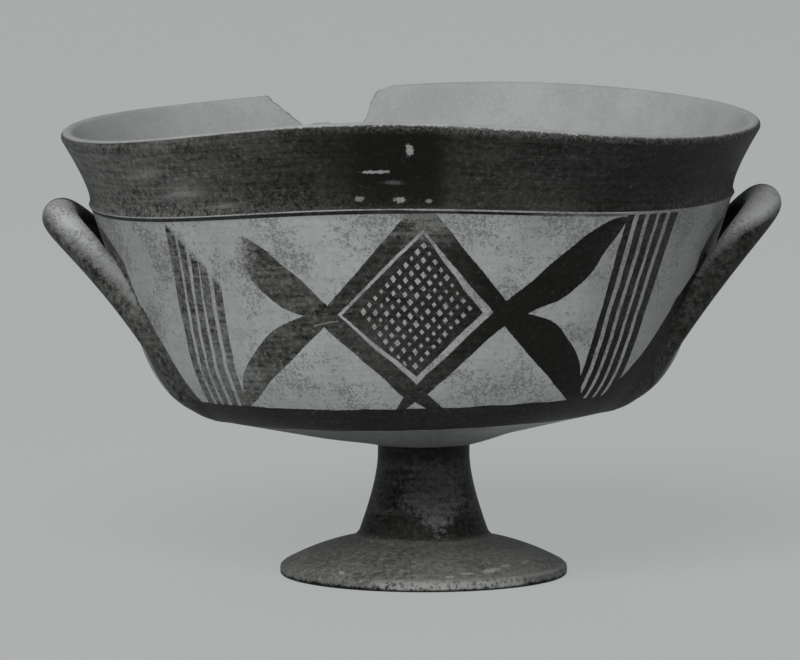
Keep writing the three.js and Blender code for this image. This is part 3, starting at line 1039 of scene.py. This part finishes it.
crest_wear = ((grain - 0.5) * 3 + rough * 3) * ramp(down, 4, 1) * ramp(true_x, -60, 20)
lip_paint = least(true_z - RIDGE_PALE_TOP, (down - CREST_PALE) * 0.8 + crest_wear)
# Painted shadow: a thin dark line under the overhang of the ridge, fading towards the right.
ridge_shadow = within(RIDGE_SHADOW_HALF + left * 0.15 - size(true_z - RIDGE_SHADOW_LINE))
ridge_shadow *= ramp(true_x + (patches - 0.5) * 60, 75, 45) * (0.75 + fine * 0.5)
foot_paint = STEM_PAINT_TOP - z
# Painted shade on the wall in the narrow gap behind the legs of the handles.
shade_beside_handle = curve(true_z, SHADE_BESIDE_HANDLE) - from_handle
body_paint_and_shade = within(most(band, roots, lip_paint, foot_paint, shade_beside_handle))

# %% [markdown]
# On the left of the picture the tip of the upper leaf is gone and the stripes break off below the
# ridge. The dots inside the lozenge are gaps in the paint.

# %% Paint of the wall
LEAF_TIP_GONE = 53.5
STRIPE_TOPS = [(36, 99.5), (39.9, 107), (42, 112), (43.9, 115), (46.2, 120.5), (49.2, 124.6), (54, 127)]

worn_tip = within(mirrored_x + rough * 16 - LEAF_TIP_GONE, 1.5) * ramp(z, 97, 100)
worn_stripe = within(z - curve(azimuth, STRIPE_TOPS) + rough * 9, 1.5)
front_shapes = within(most(lozenge, leaves)) * front
front_shapes *= 1 - worn_tip * left_front
left_stripe_paint = within(left_stripes) * left_front * (1 - worn_stripe)
right_stripe_paint = within(right_stripes) * (1 - left_front)
dot_gap = within(dots, 0.03) * front * ramp(shape(PALE_LINE_INSIDE, x, z), 0.3, 0.8)
on_wall = ramp(z, BAND_TOP - 1, BAND_TOP - 0.8) * ramp(true_z, RIDGE_SHADOW_LINE + 0.1, RIDGE_SHADOW_LINE - 0.1)
wall_paint = most(front_shapes * (1 - dot_gap), left_stripe_paint, right_stripe_paint) * on_wall
body_paint_and_shade = most(body_paint_and_shade, wall_paint, ridge_shadow)

# %% [markdown]
# The handles are painted on their outer side. The paint is rubbed off their tips and the upper part
# of the near legs. The tables say, for each height, from which facing on the clay is bare: 1 looks up
# at the bowl, -1 away from it.

# %% Paint of the handles
LEFT_BARE_FROM = [(82, 1.3), (90, 0.85), (97, 0.45), (104, 0.15), (112, 0), (121, -0.35), (130, -0.8)]
RIGHT_BARE_FROM = [(88, 1.5), (95, 1.15), (104, 0.95), (112, 0.6), (118, -0.1), (123, -0.7), (130, -1)]

bare_from = curve(true_z, LEFT_BARE_FROM) * left + curve(true_z, RIGHT_BARE_FROM) * (1 - left)
far_leg = ramp(true_y, -4, 2)
bare_from += far_leg * 2
uneven = (patches + fine * 0.8 + grain * 0.5 - 1.15) * 0.9
handle_paint = ramp(handle_facing - bare_from + uneven, 0.5, -0.5)
on_handle = ramp(away_from_wall, 0.35, 1.2) * ramp(from_handle, 5, 4) * ramp(true_z, 130, 128)
outside_only = ramp(down, 0.2, 0.8)
# Besides the paint, this mask holds the painted shadow under the ridge and the painted shade beside the
# handles.
paint_and_shade = (body_paint_and_shade * (1 - on_handle) + handle_paint * on_handle) * outside_only
print("nodes so far:", len(clay.tree.nodes))

# %% [markdown]
# The paint is worn most on the left of the picture, on the foot and at the top of the lozenge, and it
# is thick and black in the middle. On the left of the lip and wall its lightening is partly a painted
# reflection. The tables say how thin it is at each x or height.

# %% Thin paint
# Lighter paint on the left of the lip and wall is partly worn and partly a painted reflection.
LIP_THINNESS_AND_REFLECTION = [
    (-116, 0.6), (-88, 0.52), (-60, 0.3), (-30, 0.12), (-20, 0.05), (-14, 0.01), (6, 0.01), (13, 0.11),
    (38, 0.15), (62, 0.09), (85, 0.06), (116, 0.12),
]
WALL_THINNESS_AND_REFLECTION = [
    (-110, 0.75), (-72, 0.68), (-52, 0.62), (-46, 0.42), (-30, 0.4), (-24, 0.28), (-10, 0.17), (10, 0.11),
    (30, 0.02), (56, 0.03), (70, 0.12), (110, 0.2),
]
LOZENGE_TOP_THINNESS = 1.0
LOWER_THINNESS = [(13, 0.15), (20.5, 0.15), (21.5, 0.25), (36, 0.22), (42, 0.06), (60, 0.06)]
FOOT_THINNESS = 0.8
FOOT_CONTACT_SHADOW = 1.5
LEFT_HANDLE_THINNESS = 0.34
RIGHT_HANDLE_THINNESS = 0.14
ROOT_THINNESS = 0.45
RIDGE_SHADOW_THINNESS = 0.15
FOOT_EVENNESS = 0.45

lip_zone = ramp(true_z, RIDGE_HEIGHT - 0.5, RIDGE_HEIGHT)
wall_zone = ramp(z, BAND_TOP, BAND_TOP + 0.5) * (1 - lip_zone)
foot_zone = ramp(true_z + rough * 5, 14.2, 12.8)
lozenge_top = ramp(true_z, 113, 124) * ramp(to_side, 18, 10)
wall_thinness_and_reflection = most(curve(true_x, WALL_THINNESS_AND_REFLECTION), lozenge_top * LOZENGE_TOP_THINNESS)
thinness_and_reflection = curve(true_x, LIP_THINNESS_AND_REFLECTION) * lip_zone + wall_thinness_and_reflection * wall_zone
thinness_and_reflection += foot_zone * FOOT_THINNESS
thinness_and_reflection += (1 - lip_zone - wall_zone - foot_zone) * curve(true_z, LOWER_THINNESS)
# Painted shadow: the paint is darkest on the lowest part of the foot, where it meets the floor.
thinness_and_reflection *= ramp(true_z + rough * 2, FOOT_CONTACT_SHADOW - 0.6, FOOT_CONTACT_SHADOW)
thinness_and_reflection *= 1 - ramp(roots, 0, 1) * (1 - ROOT_THINNESS)
# The painted shadow under the ridge takes the darkest paint.
thinness_and_reflection *= 1 - ridge_shadow * (1 - RIDGE_SHADOW_THINNESS)
on_handle_thinness = left * (LEFT_HANDLE_THINNESS - RIGHT_HANDLE_THINNESS) + RIGHT_HANDLE_THINNESS
thinness_and_reflection = thinness_and_reflection * (1 - on_handle) + on_handle * on_handle_thinness * (1 - far_leg * 0.9)
worn_grain = mottle * 1.2 + speckle * 0.9 - 0.05
thin_paint_and_reflection = ramp(thinness_and_reflection * (worn_grain + (1 - worn_grain) * foot_zone * FOOT_EVENNESS), 0, 1)
scuffs = ramp(grain * 0.55 + fine * 0.45, 0.575, 0.65) * (thinness_and_reflection * 0.9 + 0.06)

# %% [markdown]
# The paint is gone from a patch on the stem, from the edge of the foot and, in a light dust, just
# above the ridge.

# %% Bare patches
STEM_PATCH = [(5.2, 16.5), (14.5, 25.5), (12, 38), (-2, 40), (-9, 30), (-8, 25.5)]
STEM_PATCH_SHARES = [(14, 0.7), (19, 0.5), (22, 0.26), (30, 0.12), (40, 0.05)]
FOOT_EDGE_TOP = 3.6
FOOT_LINE = 3.4
DUST = [(-112, 0.5), (-70, 0.35), (-20, 0.08), (60, 0.02), (85, 0.15), (112, 0.4)]

stem_patch = ramp(shape(STEM_PATCH, true_x, true_z) + rough * 14, -1, 2.5) * front
stem_patch *= curve(true_z, STEM_PATCH_SHARES) * (speckle * 0.9 + 0.55)
foot_edge = within(FOOT_EDGE_TOP - true_z - rough * 4, 0.8) * ramp(fine + grain, 0.84, 1.02)
foot_edge *= ramp(true_z, 0.4, 1.2) * ramp(true_x, -20, -12) * ramp(true_x, 35, 29)
foot_line = ramp(size(true_z - FOOT_LINE + rough * 1.5), 0.7, 0.1) * ramp(true_x, 24, 32)
foot_rim = most(foot_edge * 0.85, foot_line * 0.4) * front
dust = ramp(true_z, RIDGE_HEIGHT + 9, RIDGE_HEIGHT) * lip_zone * curve(true_x, DUST)
crest_dust = ramp(down, 3.6, 0.6) * lip_zone * ramp(true_x, -60, 20) * 0.5
dust = most(dust, crest_dust) * ramp(grain + fine * 0.5, 0.68, 0.9)
bare_and_glint = most(stem_patch, foot_rim, scuffs, dust)

# %% [markdown]
# Some marks are single: a painted highlight, bright flecks and a smear on the dark middle of the lip,
# dusty spots on its left and flakes near the rim of the foot. Each is a small ragged oval, given by
# its x and z, a half width, a half height, a strength and the softness of its edge. A scratch crosses
# the left corner of the lozenge.

# %% Single marks
MARKS = [
    # A painted highlight: a glint on the glossy middle of the lip.
    (-11.2, 138, 3.9, 0.45, 1, 0.35),
    (-0.6, 144.3, 1.2, 1.7, 1, 0.35),
    (-5.9, 134.7, 4, 0.8, 0.3, 0.8),
    (-3.8, 129.4, 2, 1, 0.8, 0.4),
    (-16.5, 130, 1.3, 0.7, 0.6, 0.4),
    (5.5, 129, 1.2, 0.5, 0.6, 0.4),
    (-74, 134.5, 8, 4, 0.6, 1),
    (-84.5, 141, 7, 3, 0.4, 1),
    (-60, 129.8, 6, 1.8, 0.5, 1),
    (-26.7, 5, 1.2, 0.5, 0.9, 0.4),
    (8.5, 4.6, 1.4, 0.3, 0.8, 0.4),
    (14, 5.4, 2.6, 0.3, 0.9, 0.4),
    (21.6, 5.7, 3.2, 0.45, 0.9, 0.4),
    (26.8, 6.4, 1.6, 0.35, 0.8, 0.4),
    (33.2, 6.6, 1.5, 0.35, 0.6, 0.4),
]
SCRATCH = [(-31.5, 91.4), (-31.5, 91.05), (-24, 92.25), (-24, 92.6)]

ragged = rough * 2.4 + (grain - 0.5) * 2.2
for mark_x, mark_z, half_width, half_height, strength, softness in MARKS:
    spot = place((x - mark_x) * (1 / half_width), (z - mark_z) * (1 / half_height))
    broken_up = speckle * (softness * 1.1) + (1.1 - softness)
    mark = ramp(clay.vector("LENGTH", spot) + ragged, 1.1, 1.1 - softness) * strength * broken_up
    bare_and_glint = most(bare_and_glint, mark * front)
scratch = ramp(shape(SCRATCH, x, z), -0.1, 0.15) * 0.7
bare_and_glint = least(most(bare_and_glint, scratch * front), 1)

# %% [markdown]
# ## Tones
# The picture is black and white, so every tone is a near-neutral grey. The slip has soft clouds, dark
# pits and specks in patches. Painted shade darkens it towards the right and under the band, and a
# painted highlight lightens the handle tips. The paint is almost black where it is thick, with a low
# sheen that is strongest in the middle of the lip.

# %% The clay and the paint
CLAY_PALE = (0.47, 0.485, 0.472)
CLAY_CLOUD = (0.36, 0.37, 0.36)
# Duller slip in the streaks, and the painted shade towards the right and on the left handle.
CLAY_DULL_AND_SHADE = (0.27, 0.275, 0.27)
# Painted shade under the band.
CLAY_UNDER_SHADE = (0.14, 0.142, 0.136)
CLAY_SPECK = (0.10, 0.10, 0.095)
CLAY_INSIDE = (0.53, 0.54, 0.53)
# Lighter clay of the handle tips, a painted highlight, stronger on the left.
CLAY_TIP_HIGHLIGHT_LEFT = (0.60, 0.61, 0.595)
CLAY_TIP_HIGHLIGHT_RIGHT = (0.54, 0.55, 0.54)
# Dark paint, and the tone of the painted shadow under the ridge, the painted shade beside the handles and
# the painted contact shadow of the foot.
DARK_PAINT_AND_SHADE = (0.0085, 0.008, 0.0068)
# Thin paint, and the painted reflection on the left of the lip and wall.
THIN_PAINT_AND_REFLECTION = (0.20, 0.203, 0.19)
# Bare clay, and the tone of the painted glint on the lip.
BARE_CLAY_AND_GLINT = (0.42, 0.425, 0.41)

pits = noise(thrown, 1.2, 3, 0.75)
grime = ramp(noise(thrown, 0.055, 3, 0.6) + ramp(true_z, 80, 124) * 0.09, 0.44, 0.64)
specks = ramp(pits * 0.7 + fine * 0.3 + grime * 0.12, 0.59, 0.66)
# Painted shade under the band: the underside is darkened, less so towards the right.
under_shade = ramp(z, BAND_LOW + 0.5, BAND_LOW - 0.5) * outside_only
under_shade *= 0.95 - ramp(true_x, 8, 45) * 0.7 + (fine + grain - 1) * 0.7
# Painted shade: the slip darkens towards the right, away from the light, and the bare clay of the left
# handle darkens downwards from its tip.
painted_shade = ramp(true_x, 48, 110) * outside_only * (1 - on_handle) * 0.8
painted_shade += on_handle * left * ramp(true_z, 126, 100) * 0.75
layers = [
    (ramp(patches * 0.6 + fine * 0.4, 0.4, 0.64), CLAY_CLOUD),
    (ramp(streaks, 0.5, 0.7) * outside_only * 0.25, CLAY_DULL_AND_SHADE),
    (painted_shade, CLAY_DULL_AND_SHADE),
    # A painted highlight: the handle tips take the lighter clay.
    (on_handle * ramp(true_z, 112, 126), mix(left, CLAY_TIP_HIGHLIGHT_RIGHT, CLAY_TIP_HIGHLIGHT_LEFT)),
    (1 - outside_only, mix(ramp(patches, 0.4, 0.65), CLAY_INSIDE, CLAY_PALE)),
    (specks * (outside_only * 0.5 + 0.04), CLAY_SPECK),
    (under_shade, CLAY_UNDER_SHADE),
]
clay_tone = CLAY_PALE
for share, tone in layers:
    clay_tone = mix(share, clay_tone, tone)
paint_shade_and_glint_tone = mix(thin_paint_and_reflection, DARK_PAINT_AND_SHADE, THIN_PAINT_AND_REFLECTION)
paint_shade_and_glint_tone = mix(bare_and_glint, paint_shade_and_glint_tone, BARE_CLAY_AND_GLINT)
surface = mix(paint_and_shade, clay_tone, paint_shade_and_glint_tone)

from_sheen = clay.vector("LENGTH", place((true_x + 2) * 0.045, (true_z - 141) * 0.06))
glossy_middle = ramp(from_sheen, 1.2, 0.5) * front
roughness = 0.78 - paint_and_shade * 0.26 - paint_and_shade * glossy_middle * 0.14 + thin_paint_and_reflection * 0.15 + bare_and_glint * paint_and_shade * 0.2

# %% Relief of the surface
PAINT_GLOSS = 0.1
RELIEF_STRENGTH = 0.8

height = grain * 0.08 + fine * 0.06 + streaks * 0.08 - specks * 0.08 + paint_and_shade * (1 - bare_and_glint) * 0.03
clay.finish_with(
    {"Base Color": surface, "Roughness": roughness, "Specular IOR Level": PAINT_GLOSS},
    height,
    RELIEF_STRENGTH,
)
print("nodes in the painted clay:", len(clay.tree.nodes))

# %% [markdown]
# The broken edge shows the inside of the clay: no slip, a coarse grain and some dirt.

# %% The broken clay
BROKEN_PALE = (0.58, 0.585, 0.57)
BROKEN_DIRT = (0.42, 0.42, 0.41)

broken = Finish(broken_finish)
coarse = broken.noise(broken.attribute("thrown"), 0.9, 5, 0.7)
broken_tone = broken.mix(broken.ramp(coarse, 0.35, 0.7), BROKEN_PALE, BROKEN_DIRT)
broken.finish_with({"Base Color": broken_tone, "Roughness": 0.9}, coarse * 0.5)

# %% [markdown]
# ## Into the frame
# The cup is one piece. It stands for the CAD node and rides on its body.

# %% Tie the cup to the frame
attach(cup, "root")
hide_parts("kylix")
triangles = sum(len(face.vertices) - 2 for face in cup.data.polygons)
print("triangles:", triangles)

# %% [markdown]
# ## Floor and light
# The cup stands on a pale sheet that sweeps up behind it, so that no horizon shows. The sheet glows
# faintly, because the ground in the picture is almost without shadow. One large soft light from the
# upper left front models the round forms and leaves the right side darker, and an even grey world
# fills the shadows.

# %% The sheet under and behind the cup
SHEET_SIZE = 14
SHEET_BACK = 7
SHEET_HEIGHT = 5
SHEET_TONE = (0.1125, 0.118, 0.118)
SHEET_GLOW = 0.357
SHEET_GLOW_TONE = (0.95, 1, 0.99)
SHEET_BEND = 1.4
SHEET_BEND_STEPS = 24

bpy.ops.object.select_all(action="DESELECT")
bpy.ops.mesh.primitive_plane_add(size=SHEET_SIZE, location=(0, SHEET_BACK - SHEET_SIZE / 2, 0))
sheet = bpy.context.object
sheet.name = sheet.data.name = "sheet"
bpy.ops.object.transform_apply(location=True, rotation=False, scale=False)
select_spots(sheet, spots_of(sheet)[:, 1] > 0)
bpy.ops.mesh.extrude_region_move(TRANSFORM_OT_translate={"value": (0, 0, SHEET_HEIGHT)})
bpy.ops.object.mode_set(mode="OBJECT")
sheet_spots = spots_of(sheet)
select_spots(sheet, (sheet_spots[:, 1] > 0) & (sheet_spots[:, 2] < 1))
bpy.ops.mesh.bevel(offset=SHEET_BEND, segments=SHEET_BEND_STEPS, affect="EDGES")
bpy.ops.object.mode_set(mode="OBJECT")
bpy.ops.object.shade_smooth()
sheet_finish = Finish(bpy.data.materials.new("pale sheet"))
sheet_finish.finish_with({
    "Base Color": with_alpha(SHEET_TONE),
    "Roughness": 0.95,
    "Emission Color": with_alpha(SHEET_GLOW_TONE),
    "Emission Strength": SHEET_GLOW,
})
sheet.data.materials.append(sheet_finish.material)

# %% Light
KEY_PLACE = Vector((-1.1, -4.3, 3.7))
KEY_AIM = Vector((0, 0, 0.1))
KEY_SIZE = 3.4
KEY_POWER = 205
WORLD_TONE = (0.95, 0.98, 1, 1)
WORLD_STRENGTH = 0.12

bpy.ops.object.select_all(action="DESELECT")
bpy.ops.object.light_add(type="AREA", location=KEY_PLACE, rotation=facing_to(KEY_PLACE, KEY_AIM))
key = bpy.context.object
key.name = "key_light"
key.data.shape = "DISK"
key.data.size = KEY_SIZE
key.data.energy = KEY_POWER
world = bpy.data.worlds.new("even grey")
world.use_nodes = True
background = world.node_tree.nodes["Background"]
background.inputs["Color"].default_value = WORLD_TONE
background.inputs["Strength"].default_value = WORLD_STRENGTH
bpy.context.scene.world = world
bpy.context.scene.view_settings.view_transform = "Standard"
